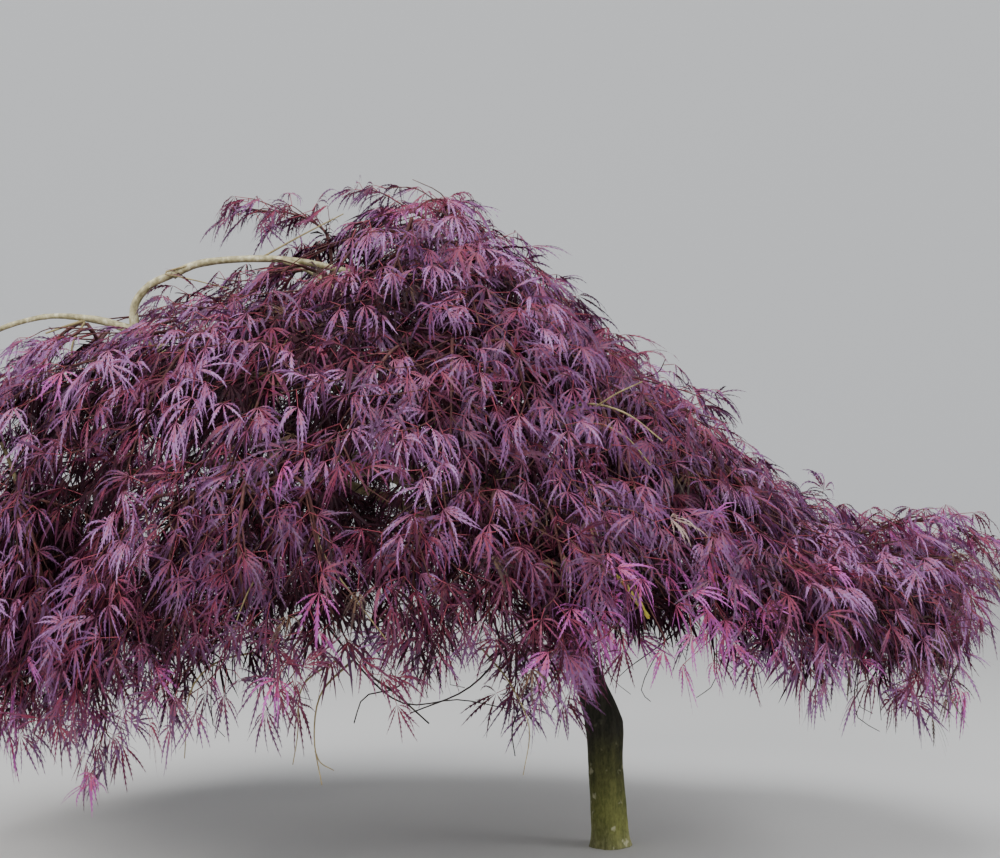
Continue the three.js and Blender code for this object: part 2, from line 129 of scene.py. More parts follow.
STRAY_SHOOTS = {
    # shoots out of the mound or under it: points, and the slope that they lie at
    "top_3": ([(-430, 40, 925), (-480, 54, 954), (-532, 62, 958)], 0.3),
    "skirt_1": ([(340, -60, 462), (405, -70, 486), (480, -80, 494), (546, -90, 456)], 0.75),
    "skirt_6": ([(-730, -320, 306), (-700, -348, 262), (-706, -352, 216)], 0.95),
    "skirt_8": ([(-104, -290, 374), (-128, -318, 342), (-144, -326, 312)], 0.95),
    "skirt_9": ([(70, -330, 420), (0, -378, 396), (-56, -392, 366), (-84, -396, 330)], 0.95),
}
ARCH_CLEAR = -385  # the arch is bare to the left of this
ARCH_DODGE = {"size": 30, "at": ARCH_CLEAR - 62, "width": 60}  # how shoots before its end are lowered

# Fine twigs and leaves
INNER_DEPTH = 80  # a second layer of shoots lies this far under the first
INNER_OVERLAP = 0.1  # and runs on down the slope, behind the next ring
SHOOT_RADII = (3.2, 1.1)
INNER_SHOOT_RADII = (2.2, 0.9)
SIDE_RADII = (1.5, 0.7)
SIDE_STEPS = 7
SIDE_EVERY = 26  # from one side shoot to the next, along a shoot
INNER_SPACING = 1.3  # as shares of that
STRAY_SPACING = 0.6
SIDE_LENGTH = (80, 150)
SIDE_WIDTH = (30, 95)
SIDE_DEPTHS = [-18, -8, 2, 12, 30, 50]  # how far under the mound's skin side shoots end
INNER_SIDE_DEPTHS = [40, 58, 76, 96, 120, 150]
PROUD = 32  # no leaf stands further out of the skin than this
STUB = np.array([(-8, -480, 440), (10, -516, 416), (24, -538, 398)])  # a bright bare stub low in front
STUB_CLEAR = 40
LIMB_CLEAR = 15
CLEAR_ABOVE = 740  # the left limbs are clear of leaves above this
TIER_GAP = 1.25  # no outer leaf hangs where the tiers' wave is higher
DRIED_LEAF = (8, -440, 520)
NODE_EVERY = 27  # from one pair of leaves to the next
LEAF_LENGTH = 66  # the middle lobe
LEAF_STALK = 26
STALK_RADII = (0.7, 0.5)
STALK_DEPTH = 70  # the leaves further inside have no stalk
LOBE_TURNS = [0, 0.36, -0.36, 0.75, -0.75, 1.25, -1.25]
LOBE_SHARES = [1, 0.94, 0.94, 0.78, 0.78, 0.52, 0.52]
LOBE_DROOP = 0.48
TURNED_DROOP = 0.36  # more for a lobe that is turned to the side
OPEN_DROOP = 0.72  # the droop below the open slope, as a share
LOBE_ROLL = 0.55
LOBE_HALF_WIDTH = 3.9  # over the teeth
PLAIN_HALF_WIDTH = 2.1
CORE = 0.34  # the lobe's width between its teeth, as a share of the whole
TEETH = 7  # along each side of a lobe
TOOTH_BASE = 0.3  # in steps
TOOTH_LEAN = 0.42  # how far its point lies past its base, in steps
TOOTH_SHIFT = 0.2  # how much less on the other side
FINE_STEPS = 5  # along a lobe of an outer leaf
PLAIN_STEPS = 3  # along a lobe of an inner leaf, which has no teeth
OUTER_DEPTH = 31  # leaves nearer to the skin than this are the outer ones
OUTER_APART = 22  # from one leaf's hub to the next
INNER_APART = 14

# Colours
# both trunk ramps go from olive at the foot to near black high up, which is painted shade under the crown
TRUNK_DARK = [(0, "6a6a48"), (0.2, "5c6134"), (0.42, "34361f"), (0.6, "22221a"), (1, "171613")]
TRUNK_LIGHT = [(0, "aaa67e"), (0.2, "8f9150"), (0.42, "5a5a36"), (0.6, "3a382c"), (1, "302c26")]
TRUNK_SPOTS = [(0, "b9b68c"), (1, "c6c3a0")]
BARKS = {
    # low, high and flecked places, and roughness
    "young_bark": ("746c4c", "aaa27c", "d4d0b2", 0.5),
    "inner_bark": ("3d3527", "5f5338", "7b7050", 0.75),
    "twig_bark": ("331c1c", "522a28", "6e4438", 0.65),
    "pale_twig_bark": ("746547", "92835b", "aea07a", 0.65),
    "dead_twig_bark": ("1c1615", "2e2522", "4a3e36", 0.8),
    "fresh_twig_bark": ("a39a3c", "c2b64e", "c98a3a", 0.5),
}
LEAF_TONES = {
    # blade and rib colours, and how much the blade shines
    "plum": ("4f294b", "672c46", 0.3),
    # purple and mauve are dealt more on the tops of the tiers, and mauve more at the sides, as painted
    # light
    "purple": ("6a3d69", "7c3854", 0.35),
    "mauve": ("8f5f91", "924c6e", 0.4),
    "garnet": ("652b49", "7a2e44", 0.25),
    # burgundy and shade are dealt inside the crown, in the gaps between tiers and low in front, as painted
    # shade
    "burgundy": ("451a31", "582230", 0.15),
    "shade": ("240e18", "30141c", 0.08),
    # magenta is dealt in bunches low in front, as painted glow of leaves that catch the light
    "magenta": ("a24e96", "aa4670", 0.35),
    "bronze": ("463430", "644a3a", 0.2),
    "dried": ("b8a098", "c0a89c", 0.3),
}
USUAL_TONES = dict(
    plum=3.2, purple=4.2, mauve=2, garnet=2.6, burgundy=2, shade=0, magenta=0.02, bronze=0.2
)
# Bunches of leaves painted bright pink low in front, as painted glow of leaves that catch the light
PAINTED_GLOW_BUNCHES = [
    # x and width, z and height, how far in front they start, and strength
    (45, 105, 345, 85, -250, 30),
    (-850, 130, 220, 70, REACH_FRONT, 9),
]
TIER_LIGHT = 0.65  # how strongly the tiers lighten and darken the tones: painted light on their tops, painted shade in the gaps
STRAY_TONES = 0.2  # share of leaves whose tone isn't their spray's
LIT_DEPTH = -8  # no leaf that stands out further than this gets a tone of painted shade
STALK_COLOUR = "8e3848"
SEED = 20

# Floor, lights and camera
FLOOR = (9.0, 3.5, 8.0, 72)  # reach, radius of the bend, top of the wall, and sides
GLOW = {"from": 2.0, "strength": 0.34, "colour": (0.92, 0.95, 1, 1)}
LIT_POINT = (-0.25, 0, 0.5)
LIGHTS = [
    # name, place, size, watts and colour
    ("top_light", (-0.4, -0.5, 4.2), 3.4, 148, (0.95, 0.97, 1.0)),
    ("key_light", (-2.6, -2.7, 2.8), 2.4, 146, (1.0, 0.98, 0.96)),
    ("fill_light", (3.4, -1.4, 2.1), 2.6, 130, (0.97, 0.98, 1.0)),
]
SKY = {"colour": (0.86, 0.9, 1.0, 1), "strength": 0.24}
CAMERA = [(-0.166, -3.6, 0.70), (-0.166, 0, 0.628)]  # its place, and what it looks at
LENS = 86.4
SENSOR = 36


def unit(v):
    return v / np.maximum(np.linalg.norm(v, axis=-1, keepdims=True), 1e-9)


def dot(a, b):
    return (a * b).sum(-1, keepdims=True)


def bell(x, middle, width):
    return np.exp(-(((x - middle) / width) ** 2))


def swell(x, form):
    return form["size"] * bell(x, form["at"], form["width"])


def interpolate(wanted, places, points):
    return np.stack([np.interp(wanted, places, column) for column in points.T], -1)


def lengths_along(points):
    steps = np.linalg.norm(np.diff(points, axis=0), axis=1)
    return np.concatenate([[0], np.cumsum(steps)])


def evenly(points, steps):
    along = lengths_along(points)
    return interpolate(np.linspace(0, along[-1], steps + 1), along, points)


# The mound's skin


def around(sizes, c):
    """A size that changes evenly round the crown, by the cosine of the azimuth"""
    right, front, left = sizes
    return front + (right - left) / 2 * c + ((right + left) / 2 - front) * c * c


def slope_line(azimuth):
    c = math.cos(azimuth)
    reach = 1 / math.hypot(c / REACH_SIDE, math.sin(azimuth) / REACH_FRONT)
    hem = around(HEM, c)
    power = around(FULLNESS, c)
    t = np.sin(np.linspace(0, math.pi / 2, 61))
    dome = np.maximum(0, 1 - t**power) ** (1 / power)
    hollow = max(0, -c) ** 2 * swell(t, SHELF)
    dip = max(0, c) ** 2 * swell(t, DIP)
    over = np.stack([reach * t, WAIST + (CROWN_TOP - WAIST) * dome - hollow - dip], 1)
    k = np.arange(1, 13) / 12
    tuck = 0.25 * (WAIST - hem)
    hang = np.stack([reach - tuck * k * k, WAIST + (hem - WAIST) * k], 1)
    return evenly(np.concatenate([over, hang]), SLOPE_POINTS)


slopes = np.array([slope_line(TAU * i / SLOPES) for i in range(SLOPES)])
SLOPE_LENGTH = np.mean([lengths_along(s)[-1] for s in slopes])


def skin_point(azimuth, slope):
    azimuth, slope = np.broadcast_arrays(azimuth, slope)
    turn = azimuth / TAU % 1 * SLOPES
    i = np.floor(turn).astype(int)
    beside = (turn - i)[..., None]
    s = np.clip(slope, 0, 1) * SLOPE_POINTS
    row = np.minimum(s.astype(int), SLOPE_POINTS - 1)
    below = (s - row)[..., None]

    def at(k):
        return slopes[k % SLOPES, row] * (1 - below) + slopes[k % SLOPES, row + 1] * below

    p = at(i) * (1 - beside) + at(i + 1) * beside
    x = CROWN_X + p[..., 0] * np.cos(azimuth)
    y = p[..., 0] * np.sin(azimuth)
    return np.stack([x, y, p[..., 1] - np.maximum(0, slope - 1) * HANG], -1)


def skin_frame(azimuth, slope):
    """The skin's outward normal and its way down"""
    azimuth, slope = np.broadcast_arrays(azimuth, slope)
    down = skin_point(azimuth, slope + 0.02) - skin_point(azimuth, np.maximum(0, slope - 0.02))
    across = np.stack([-np.sin(azimuth), np.cos(azimuth), np.zeros_like(azimuth)], -1)
    return unit(np.cross(down, across)), unit(down)


def crown_point(azimuth, slope, depth):
    bumps = np.sin(3 * azimuth + 1.1) * np.sin(9 * slope + 0.6) + 0.6 * np.sin(7 * azimuth + 11 * slope)
    lift = SWELL * bumps * np.minimum(1, slope / 0.15) - depth
    normal, _ = skin_frame(azimuth, slope)
    return skin_point(azimuth, slope) + normal * np.asarray(lift)[..., None]


# Lines


def smooth_line(points, steps):
    """Evenly spaced points on a rounded line through a few points"""
    p = np.asarray(points, float)
    p = np.concatenate([[2 * p[0] - p[1]], p, [2 * p[-1] - p[-2]]])
    fine = []
    for i in range(1, len(p) - 2):
        a, b, c, d = p[i - 1 : i + 3]
        ta, tb, tc = (max(np.linalg.norm(v), 1e-3) ** 0.5 for v in (b - a, c - b, d - c))
        start = ((b - a) / ta - (c - a) / (ta + tb) + (c - b) / tb) * tb
        end = ((c - b) / tb - (d - b) / (tb + tc) + (d - c) / tc) * tb
        t = np.linspace(0, 1, 25)[:, None]
        bent = (2 * b - 2 * c + start + end) * t**3 + (3 * c - 3 * b - 2 * start - end) * t**2
        fine.append((bent + start * t + b)[:-1])
    return evenly(np.concatenate([*fine, [p[-2]]]), steps)


def line_length(line):
    return lengths_along(line)[-1]


def along_line(line, share):
    """Points at shares of a line's length"""
    along = lengths_along(line)
    return interpolate(share * along[-1], along, line)


def at_height(line, z):
    line = line[np.argsort(line[:, 2])]
    return interpolate(z, line[:, 2], line)


# Meshes


def put_in_scene(name, data, place=(0, 0, 0), target=None):
    """A new object; with a target it looks down its own Z at that"""
    thing = bpy.data.objects.new(name, data)
    thing.location = place
    if target:
        x, y, z = np.subtract(target, place)
        thing.rotation_euler = (math.atan2(math.hypot(x, y), -z), 0, math.atan2(-x, y))
    bpy.context.scene.collection.objects.link(thing)
    return thing


class Parts:
    """Vertices and triangles for one mesh, with each triangle's material number"""

    def __init__(self):
        self.points, self.faces, self.wears, self.count = [], [], [], 0

    def add(self, points, faces, wears=0):
        self.points.append(points.reshape(-1, 3))
        self.faces.append(faces.reshape(-1, 3) + self.count)
        self.wears.append(np.broadcast_to(wears, len(self.faces[-1])))
        self.count += len(self.points[-1])

    def piece(self, name, slot, materials, nodes=(), rounded=True):
        points = np.concatenate(self.points)
        faces = np.concatenate(self.faces)
        mesh = bpy.data.meshes.new(name)
        mesh.vertices.add(len(points))
        mesh.vertices.foreach_set("co", (points * MM).astype(np.float32).ravel())
        mesh.loops.add(faces.size)
        mesh.loops.foreach_set("vertex_index", faces.astype(np.int32).ravel())
        mesh.polygons.add(len(faces))
        mesh.polygons.foreach_set("loop_start", np.arange(0, faces.size, 3, dtype=np.int32))
        mesh.polygons.foreach_set("material_index", np.concatenate(self.wears).astype(np.int32))
        mesh.polygons.foreach_set("use_smooth", np.full(len(faces), rounded))
        mesh.update(calc_edges=True)
        for material in materials:
            mesh.materials.append(material)
        piece = put_in_scene(name, mesh)
        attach(piece, "root")
        if nodes:
            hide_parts(*nodes)
        print(f"{name}: {len(faces)} triangles")


def ring_angles(sides):
    return TAU * np.arange(sides) / sides


def tube_rings(lines, sides):
    """The ways out to rings of points round lines, turned with each line"""
    tangent = unit(np.gradient(lines, axis=1))
    helper = np.where(np.abs(tangent[:, 0, 2:3]) < 0.9, UP, np.array([1.0, 0, 0]))
    normals = np.empty_like(lines)
    normal = np.cross(tangent[:, 0], helper)
    for i in range(lines.shape[1]):
        normal = unit(normal - dot(normal, tangent[:, i]) * tangent[:, i])
        normals[:, i] = normal
    across = np.cross(tangent, normals)
    angle = ring_angles(sides)[:, None]
    return normals[:, :, None] * np.cos(angle) + across[:, :, None] * np.sin(angle)


def tube_faces(count, rings, sides):
    """Triangles of tubes that lie one after the other"""
    i, j = np.meshgrid(np.arange(rings - 1), np.arange(sides), indexing="ij")
    a = i * sides + j
    b = i * sides + (j + 1) % sides
    one = np.stack([a, b, b + sides, a, b + sides, a + sides], -1).reshape(-1, 3)
    return (one[None] + (np.arange(count) * rings * sides)[:, None, None]).reshape(-1, 3)


def add_tubes(parts, lines, radii, sides, wears=0):
    """Round limbs along lines; radii has a value for each point"""
    lines = np.asarray(lines, float)
    radii = np.broadcast_to(np.asarray(radii, float), lines.shape[:2])
    points = lines[:, :, None] + tube_rings(lines, sides) * radii[:, :, None, None]
    parts.add(points, tube_faces(len(lines), lines.shape[1], sides), wears)


# The trunk

trunk_line = smooth_line(TRUNK_STATIONS[:, :3], TRUNK_STEPS)


def waves(angle, z, seed, counts, rise):
    """Uneven ridges that run up a stem: sines round it, whose phases drift with height"""
    dice = np.random.default_rng(seed)
    total = 0
    for count in counts:
        phase = dice.uniform(0, TAU, 3)
        drift = 1.6 * np.sin(z / rise + phase[0]) + 0.9 * np.sin(z / (0.37 * rise) + phase[1])
        total = total + np.sin(count * angle + drift + phase[2]) / len(counts) ** 0.5
    return total


def trunk_radii(z, angle, to_right):
    """The trunk's radius with its knee, its flare, and the ridges and rings of its bark"""
    radius = np.interp(z, TRUNK_STATIONS[:, 2], TRUNK_STATIONS[:, 3])
    thick = radius / FULL_GIRTH
    radius = radius * (1 + 0.02 * np.sin(3 * angle + 0.02 * z) + 0.012 * np.sin(5 * angle - 0.013 * z))
    radius = radius + swell(z, KNEE) * np.maximum(0, to_right)
    radius = radius + FLARE["out"] * np.exp(-z / FLARE["height"]) * (1 + 0.5 * np.sin(4 * angle + 1))
    for out, seed, counts, rise in BARK_RIDGES:
        radius = radius + thick * out * waves(angle, z, seed, counts, rise)
    return radius + thick * swell(z % RINGS_APART, BARK_RINGS) * (1 + 0.6 * np.sin(2 * angle + z / 40))


def trunk_mesh():
    parts = Parts()
    line = trunk_line[trunk_line[:, 2] > -2]
    ring = tube_rings(line[None], TRUNK_SIDES)[0]
    radius = trunk_radii(line[:, 2:3], ring_angles(TRUNK_SIDES), ring[..., 0])
    points = line[:, None] + ring * radius[..., None]
    points[..., 2] = np.maximum(points[..., 2], 0)
    parts.add(points, tube_faces(1, len(line), TRUNK_SIDES))
    foot = np.concatenate([points[0], [[*points[0].mean(0)[:2], 0]]])
    j = np.arange(TRUNK_SIDES)
    parts.add(foot, np.stack([np.full(TRUNK_SIDES, TRUNK_SIDES), (j + 1) % TRUNK_SIDES, j], 1))
    return parts


# The boughs


def arch(start, tip, rise):
    shares = np.array([0, 0.3, 0.62, 0.85, 1])[:, None]
    return start + (tip - start) * shares + UP * rise * 4 * shares * (1 - shares)


masses = []
for ring in RINGS:
    for place in range(ring["count"]):
        label = ring["name"] if ring["count"] == 1 else f"{ring['name']}_{place + 1}"
        azimuth = TAU * place / ring["count"] + ring["turn"]
        half = math.pi / ring["count"]
        masses.append({**ring, "label": label, "place": place, "azimuth": azimuth, "half": half})

boughs = {}


def add_bough(name, points, root, tip):
    points = np.asarray(points, float)
    steps = max(12, int(line_length(points) / BOUGH_STEP))
    boughs[name] = {"line": smooth_line(points, steps), "root": root, "tip": tip}


def grow_left_boughs():
    start = at_height(trunk_line, LEFT_ROOT)
    add_bough("bough_left", [start, (-400, -20, 590), (-590, -45, 700), LEFT_FORK], 12.5, 7.2)
    hanging = next(m for m in masses if m["label"] == "skirt_6")
    arm_end = crown_point(hanging["azimuth"], hanging["from"] + 0.01, ARM_DEPTH)
    add_bough("bough_left_arm", [LEFT_FORK, *LEFT_ARM, arm_end], 6, TIP_RADIUS)
    add_bough("bough_left_riser", [LEFT_FORK, (-706, -50, 812), (-686, -48, 840), ARCH_BEND], 6.4, 5.6)
    add_bough("bough_left_arch", [ARCH_BEND, (-609, -44, 874), (-485, -34, 880), ARCH_END], 5.6, TIP_RADIUS)
    add_bough("bough_left_side", [(-485, -34, 879), (-440, -42, 858), (-388, -62, 820)], 3.9, 3)


def grow_boughs():
    grow_left_boughs()
    for mass in masses:
        if mass["label"] in ("crown", *LEFT_FEEDERS):
            continue
        low, high, radius = BOUGH_ROOTS[mass["name"]]
        place = (mass["place"] * 0.618 + 0.1) % 1
        start = at_height(trunk_line, low + (high - low) * place)
        tip = crown_point(mass["azimuth"], mass["from"] + 0.02, BOUGH_DEPTH)
        rise = 0.12 * np.linalg.norm(tip - start)
        add_bough(f"bough_{mass['label']}", arch(start, tip, rise), radius, TIP_RADIUS)


def limb_rings(along, dice):
    rings = 0
    at = dice.uniform(*LIMB_RINGS["first"])
    while at < along[-1, 0]:
        rings = rings + dice.uniform(*LIMB_RINGS["out"]) * bell(along, at, LIMB_RINGS["width"])
        at += dice.uniform(*LIMB_RINGS["apart"])
    return rings


def add_bough_mesh(parts, name, sides, seed):
    """A limb with a collar at its root, low ridges and rings where it once bore shoots"""
    bough = boughs[name]
    line = bough["line"]
    along = lengths_along(line)[:, None]
    radius = bough["root"] + (bough["tip"] - bough["root"]) * (along / along[-1, 0])
    if name == "bough_left_arm":
        radius = radius * np.interp(along, ARM_TAPER["along"], ARM_TAPER["share"])
    out, counts, rise = LIMB_RIDGES
    ridges = waves(ring_angles(sides), along, seed, counts, rise)
    collar = np.exp(-along / (COLLAR["length"] * bough["root"]))
    relief = 1 + out * ridges + limb_rings(along, np.random.default_rng(seed))
    relief = relief + COLLAR["out"] * collar + 0.035 * np.sin(along / 23 + seed) * np.sin(along / 9.5)
    points = line[:, None] + tube_rings(line[None], sides)[0] * (radius * relief)[..., None]
    # painted shade: faces below DARK_BELOW get the second, darker bark
    dark = np.repeat(line[:-1, 2] < DARK_BELOW, 2 * sides)
    parts.add(points, tube_faces(1, len(line), sides), dark.astype(int))


# The stems and shoots of a mass, then finer side shoots on each shoot


def stem_line(mass):
    name = LEFT_FEEDERS.get(mass["label"], f"bough_{mass['label']}")
    feeder = boughs[name]["line"] if name in boughs else trunk_line
    tip = feeder[-1]
    heading = unit(tip - feeder[-3])
    crotch = crown_point(mass["azimuth"], mass["from"] + 0.05 if mass["from"] else 0.01, STEM_DEPTH)
    return smooth_line([tip - heading * 3, tip + heading * 20, crotch], STEM_STEPS)


def below_arch(line):
    """A shoot in front of the bare arch, lowered so that it doesn't run across it"""
    x, y, _ = line.T
    share = np.linspace(0, 1, len(line))
    in_front = 1 / (1 + np.exp((y - 10) / 12))
    return line - UP * (swell(x, ARCH_DODGE) * np.minimum(1, 5 * share) * in_front)[:, None]


def shoot_ways(mass, stem):
    """The lines of a mass's shoots, with the slopes that they reach, and a second layer of them inside"""
    start = mass["from"] + 0.03
    end = mass["to"] + (-0.03 if mass["name"] == "skirt" else 0.03)
    spread = SHOOT_SPREAD if mass["from"] else 1
    ways = []
    for i in range(2 * mass["shoots"]):
        inner = i >= mass["shoots"]
        last = end + (INNER_OVERLAP if inner and mass["name"] != "skirt" else 0)
        slopes = start + (last - start) * SHOOT_SHARES
        place = i % mass["shoots"] + (0.45 if inner else 0)
        azimuths = mass["azimuth"] + ((2 * place + 1) / mass["shoots"] - 1) * mass["half"] * spread
        root = along_line(stem, (0.6 if inner else 0.96) - 0.18 * (i % 3))
        points = [root, *crown_point(azimuths, slopes, TWIG_DEPTH + INNER_DEPTH * inner)]
        line = smooth_line(points, SHOOT_STEPS)
        if mass["name"] == "top":
            line = below_arch(line)
        ways.append({"line": line, "slopes": slopes, "inner": inner, "stray": False})
    if mass["label"] in STRAY_SHOOTS:
        points, slope = STRAY_SHOOTS[mass["label"]]
        line = smooth_line([along_line(stem, 0.7), *points], SHOOT_STEPS)
        ways.append({"line": line, "slopes": np.full(3, slope), "inner": False, "stray": True})
    return ways


def grow_twigs(rng):
    """The twigs of all masses: lines with their root and tip radius, mass, and spray number"""
    twigs = []
    spray = 0

    def add(line, radii, stray=False, bare=False):
        twig = {"line": line, "radii": radii, "mass": mass, "spray": spray}
        twigs.append({**twig, "stray": stray, "bare": bare})

    for mass in masses:
        stem = stem_line(mass)
        add(stem, STEM_RADII, bare=True)
        for way in shoot_ways(mass, stem):
            inner, stray = way["inner"], way["stray"]
            add(way["line"], INNER_SHOOT_RADII if inner else SHOOT_RADII, stray)
            spacing = SIDE_EVERY * (INNER_SPACING if inner else STRAY_SPACING if stray else 1)
            count = max(3, int(line_length(way["line"]) / spacing))
            for k in range(count):
                share = 0.16 + 0.8 * (k + rng.uniform(-0.25, 0.25)) / count
                spray += 1
                line = side_shoot(rng, mass, way, share, 1 if k % 2 else -1)
                if not bare_place(line[-1]):
                    add(line, SIDE_RADII, stray)
            spray += 1
    return twigs


def bare_place(points):
    """Whether points lie over the left arm or in front of the arch, which are bare"""
    x, y, z = np.moveaxis(points, -1, 0)
    over_arm = (x < LEFT_FORK[0] + 20) & (z > LEFT_FORK[2] - 4 + 0.03 * y)
    arch = boughs["bough_left_arch"]["line"]
    arch = arch[np.argsort(arch[:, 0])]
    height = np.interp(x, arch[:, 0], arch[:, 2], left=1e4, right=1e4)
    return over_arm | ((y < 0) & (z > height - 14) & (x < ARCH_CLEAR))


def hem_drop(azimuth):
    """How much further than the hem its sprays hang, in bunches round the crown"""
    bunches = math.sin(5 * azimuth + 2.3) + math.sin(13 * azimuth + 0.4) + 0.8 * math.sin(23 * azimuth + 1)
    return 0.03 + 0.022 * bunches + 0.05 * bell(azimuth, -1.9, 0.4)


def side_shoot(rng, mass, way, share, hand):
    """The line of a shoot that leaves another at a share of its length, on one side"""
    line = way["line"]
    root = along_line(line, share)
    heading = unit(along_line(line, min(1, share + 0.04)) - root)
    place = math.atan2(root[1], root[0] - CROWN_X)
    slope = np.interp(share, [0, 0.3, 0.62, 1], [mass["from"] + 0.02, *way["slopes"]])
    length = rng.uniform(*SIDE_LENGTH)
    width = rng.uniform(*SIDE_WIDTH) * hand
    if way["stray"]:
        tip = root + heading * length * 0.5 + np.array([0, width * 0.6, rng.uniform(-25, 10)])
    else:
        out = max(110, math.hypot(root[0] - CROWN_X, root[1]))
        end = min(slope + length * 0.85 / SLOPE_LENGTH, rng.uniform(0.92, 1) + hem_drop(place))
        depth = rng.choice(INNER_SIDE_DEPTHS if way["inner"] else SIDE_DEPTHS)
        tip = crown_point(place + width / out, end, depth + rng.uniform(-6, 6))
    normal, _ = skin_frame(place, slope)
    middle = root * 0.45 + tip * 0.55 + heading * 0.14 * length + normal * rng.uniform(2, 16)
    return smooth_line([root, middle, tip], SIDE_STEPS)


# Bare twigs: pale ones over the left boughs and the foliage, and dark ones under the crown

PALE_TWIGS = [
    # points, then root and tip radius
    ([(-780, -51, 789), (-805, -60, 781), (-835, -66, 770)], 3, 1.4),
    ([(-779, -53, 787), (-795, -62, 757), (-797, -64, 705)], 1.9, 1.1),
    ([(-608, -44, 875), (-661, -60, 859), (-636, -68, 853), (-564, -72, 836)], 1.8, 0.9),
    ([(-525, -36, 880), (-465, -30, 914), (-399, -20, 949)], 1.9, 1),
    ([(-430, -190, 778), (-470, -250, 746), (-474, -262, 632)], 1.7, 0.9),
    ([(-330, -120, 850), (-290, -165, 852), (-238, -180, 838), (-180, -186, 800)], 2, 0.9),
    ([(-100, -290, 650), (-44, -352, 669), (4, -376, 656), (51, -396, 620)], 2.1, 1),
    ([(-100, -290, 640), (-40, -362, 664), (-8, -382, 684), (24, -396, 699)], 1.8, 0.9),
    ([(-92, -292, 636), (-30, -372, 642), (6, -396, 622), (34, -408, 588)], 1.9, 0.9),
    ([(-470, -380, 340), (-540, -470, 330), (-566, -500, 300), (-574, -506, 212)], 1.8, 0.7),
    ([(-380, -400, 330), (-424, -490, 300), (-428, -504, 240), (-434, -506, 204)], 1.7, 0.7),
    ([(-360, -400, 330), (-400, -500, 290), (-406, -508, 238), (-396, -510, 178)], 1.9, 0.8),
    ([(-405, -508, 222), (-398, -512, 208), (-380, -516, 198)], 1, 0.6),
    ([(-400, -480, 520), (-392, -566, 486), (-346, -590, 424), (-309, -594, 376)], 1.7, 0.8),
    ([(-470, -470, 460), (-486, -560, 432), (-504, -574, 382)], 1.6, 0.8),
    ([(-190, -380, 340), (-150, -470, 300), (-128, -500, 250), (-136, -504, 190)], 1.5, 0.6),
]
DARK_TWIGS = [
    ([(-320, -300, 420), (-345, -430, 322), (-300, -450, 286), (-259, -456, 250)], 2.4, 1.1),
    ([(-200, -280, 420), (-168, -420, 340), (-206, -440, 296), (-285, -446, 262)], 2.1, 0.9),
    ([(-240, -300, 400), (-300, -430, 296), (-345, -450, 284), (-358, -452, 250)], 1.8, 0.8),
    ([(-160, -300, 380), (-130, -400, 290), (-150, -430, 240), (-146, -436, 204)], 1.6, 0.7),
    ([(-420, -300, 380), (-300, -380, 268), (-220, -400, 274), (-150, -410, 262)], 1.7, 0.7),
]
FRESH_TWIGS = [
    ([(-60, -380, 470), *STUB], 3.4, 2.6),
    ([(24, -536, 396), (14, -532, 418), (4, -520, 444)], 1.6, 1.1),
]


def grow_hanging_twigs(rng):
    """Thin dead twigs from the lowest boughs down to below the hem"""
    twigs = []
    for mass in masses:
        if mass["name"] != "skirt":
            continue
        stem = stem_line(mass)
        for _ in range(9):
            root = along_line(stem, rng.uniform(0.1, 0.9))
            azimuth = mass["azimuth"] + rng.uniform(-1.1, 1.1) * mass["half"]
            end = crown_point(azimuth, rng.uniform(0.96, 1.06), rng.uniform(30, 200))
            middle = root * 0.5 + end * 0.5 + rng.normal(0, 12, 3) + UP * rng.uniform(-10, 25)
            last = end + [*rng.normal(0, 14, 2), -rng.uniform(5, 30)]
            twigs.append(([root, middle, end, last], rng.uniform(1.1, 1.9), 0.5))
    return twigs


# Leaves


def leaf_places(rng, twigs):
    """Where the leaves stand: in pairs along the twigs, and one at each tip"""
    places = []

    def put(root, heading, hand, size):
        places.append((root, heading, [hand], [size], twig["spray"], twig["stray"]))

    for twig in twigs:
        if twig["bare"]:
            continue
        line = twig["line"]
        count = max(1, round(line_length(line) / NODE_EVERY))
        for k in range(count):
            share = (k + 1 + rng.uniform(-0.2, 0.2)) / (count + 0.6)
            if share < 0.14:
                continue
            heading = unit(along_line(line, min(1, share + 0.05)) - along_line(line, share - 0.05))
            for hand in (-1, 1):
                put(along_line(line, share), heading, hand, rng.uniform(0.74, 1.08))
        put(line[-1], unit(line[-1] - line[-2]), 0, rng.uniform(0.8, 1.1))
    names = ("root", "heading", "hand", "size", "spray", "stray")
    return {name: np.array(column) for name, column in zip(names, zip(*places))}


def pick(leaves, which):
    return {name: value[which] for name, value in leaves.items()}


def surface_at(points):
    """The skin's normal and way down at points near it, by the nearest slope of the mound"""
    azimuth = np.arctan2(points[:, 1], points[:, 0] - CROWN_X)
    steps = np.linspace(0.01, 1.15, 68)
    skin = skin_point(azimuth[:, None], steps[None, :])
    nearest = np.argmin(((skin - points[:, None]) ** 2).sum(-1), axis=1)
    slope = steps[nearest]
    normal, down = skin_frame(azimuth, slope)
    depth = dot(skin_point(azimuth, slope) - points, normal)[:, 0]
    return slope, normal, down, depth


